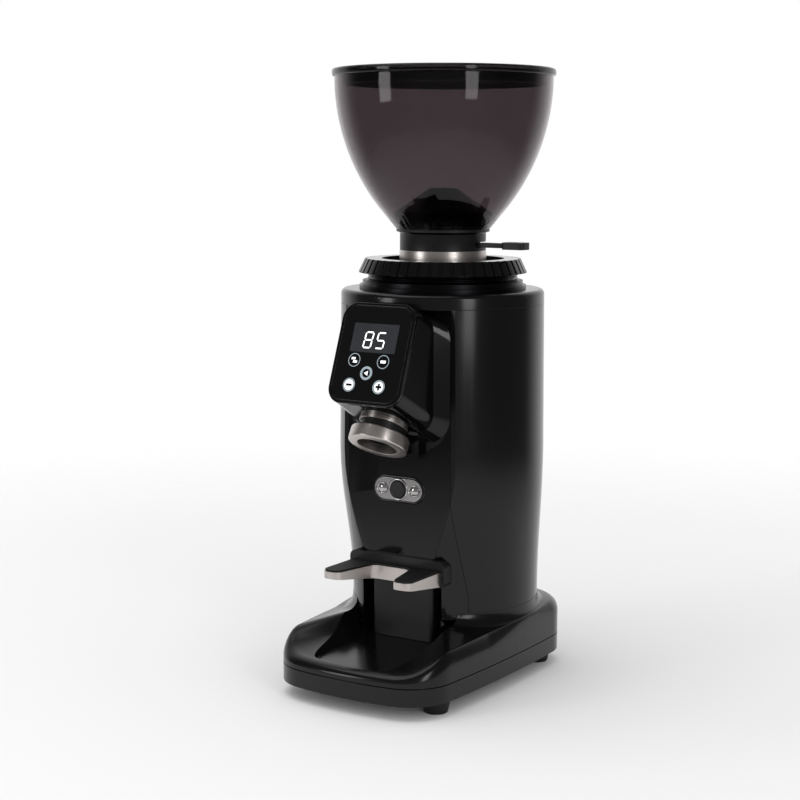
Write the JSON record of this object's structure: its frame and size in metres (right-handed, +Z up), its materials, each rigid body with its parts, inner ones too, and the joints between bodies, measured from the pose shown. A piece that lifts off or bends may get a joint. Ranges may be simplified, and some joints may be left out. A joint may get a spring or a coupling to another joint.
{
  "type": "burr coffee grinder",
  "caption": "Upright on-demand burr coffee grinder: smoked bean hopper with gate and lid, adjusting ring, motor column, leaning touch panel, tilted spout, fork and base with a tray.",
  "frame": {"origin": "on the table, under the middle of the box round the grinder", "axes": "+Z up along the column, -Y towards the user at the spout and panel, +X to the user's right"},
  "size_m": [0.1752, 0.232, 0.48],
  "materials": {
    "casing_paint": "gloss black paint",
    "gloss_black": "gloss black moulding",
    "satin_black": "satin black moulding",
    "black_anodised": "black anodised",
    "smoked_clear": "smoked clear plastic, polished",
    "screen_glass": "black backed glass, polished",
    "satin_nickel": "satin nickel",
    "chrome": "polished",
    "rubber": "matt",
    "steel": "ground",
    "aluminium": "cast and machined",
    "copper": "enamelled copper wire",
    "circuit": "board"
  },
  "bodies": {
    "casing": {"barrel_nut": "steel", "base_plate": "casing_paint", "board_standoffs": "circuit", "capacitor_clip": "satin_black", "chute_tube": "satin_black", "control_board": "circuit", "cord_gland": "satin_black", "display_module": "circuit", "foot_screws": "steel", "fork": "satin_nickel", "fork_bracket": "satin_black", "fork_pad": "rubber", "fork_post": "satin_black", "fork_screws": "steel", "front_cover": "gloss_black", "grinding_chamber": "black_anodised", "head_base": "gloss_black", "head_shell": "gloss_black", "lower_bearing": "steel", "main_housing": "casing_paint", "motor_bolts": "steel", "motor_lower_bell": "aluminium", "motor_upper_bell": "aluminium", "outlet_ring": "satin_nickel", "panel_bezel": "gloss_black", "power_board": "circuit", "rocker_frame": "satin_black", "rubber_feet": "rubber", "run_capacitor": "aluminium", "spout_sleeve": "satin_nickel", "stator_core": "steel", "stator_windings": "copper", "switch_barrel": "satin_black", "switch_plate": "chrome", "switch_screws": "chrome", "top_cover": "casing_paint", "touch_glass": "screen_glass", "upper_bearing": "steel"},
    "rotor": {"drive_shaft": "steel", "rotor_core": "steel", "cooling_fan": "satin_black", "lower_burr_carrier": "aluminium", "lower_burr": "steel", "lower_burr_screws": "steel", "cap_nut": "steel"},
    "upper_carrier": {"upper_burr_carrier": "aluminium", "upper_burr": "steel", "upper_burr_screws": "steel", "throat_collar": "satin_nickel"},
    "ring": {"adjusting_ring": "satin_black"},
    "hopper": {"hopper_bowl": "smoked_clear", "gate_body": "satin_black", "guard_cone": "satin_black"},
    "gate": {"gate_shutter": "satin_black"},
    "lid": {"hopper_lid": "smoked_clear"},
    "button": {"push_button": "satin_black"},
    "rocker": {"power_rocker": "satin_black"}
  },
  "joints": [
    {"name": "rotor_spin", "type": "hinge", "parent": "casing", "child": "rotor", "pos_m": [0, 0.028, 0.2], "axis": [0, 0, 1], "continuous": true},
    {"name": "carrier_lift", "type": "slide", "parent": "casing", "child": "upper_carrier", "axis": [0, 0, 1], "range_m": [0, 0.00125]},
    {"name": "ring_turn", "type": "hinge", "parent": "upper_carrier", "child": "ring", "pos_m": [0, 0.028, 0.3275], "axis": [0, 0, 1], "range_deg": [0, 300]},
    {"name": "hopper_lift", "type": "slide", "parent": "upper_carrier", "child": "hopper", "axis": [0, 0, 1], "range_m": [0, 0.06]},
    {"name": "gate_swing", "type": "hinge", "parent": "hopper", "child": "gate", "pos_m": [0, 0.028, 0.3441], "axis": [0, 0, 1], "range_deg": [0, 80]},
    {"name": "lid_lift", "type": "slide", "parent": "hopper", "child": "lid", "axis": [0, 0, 1], "range_m": [0, 0.06]},
    {"name": "button_press", "type": "slide", "parent": "casing", "child": "button", "axis": [0, 1, 0], "range_m": [0, 0.0025], "stiffness_N_per_m": 600, "springref_m": -0.002},
    {"name": "rocker_tip", "type": "hinge", "parent": "casing", "child": "rocker", "pos_m": [0, 0.107, 0.1268], "axis": [1, 0, 0], "range_deg": [0, 16]}
  ],
  "couplings": [
    {"joint": "ring_turn", "follows": "carrier_lift", "rad_per_m": 4188.8}
  ]
}
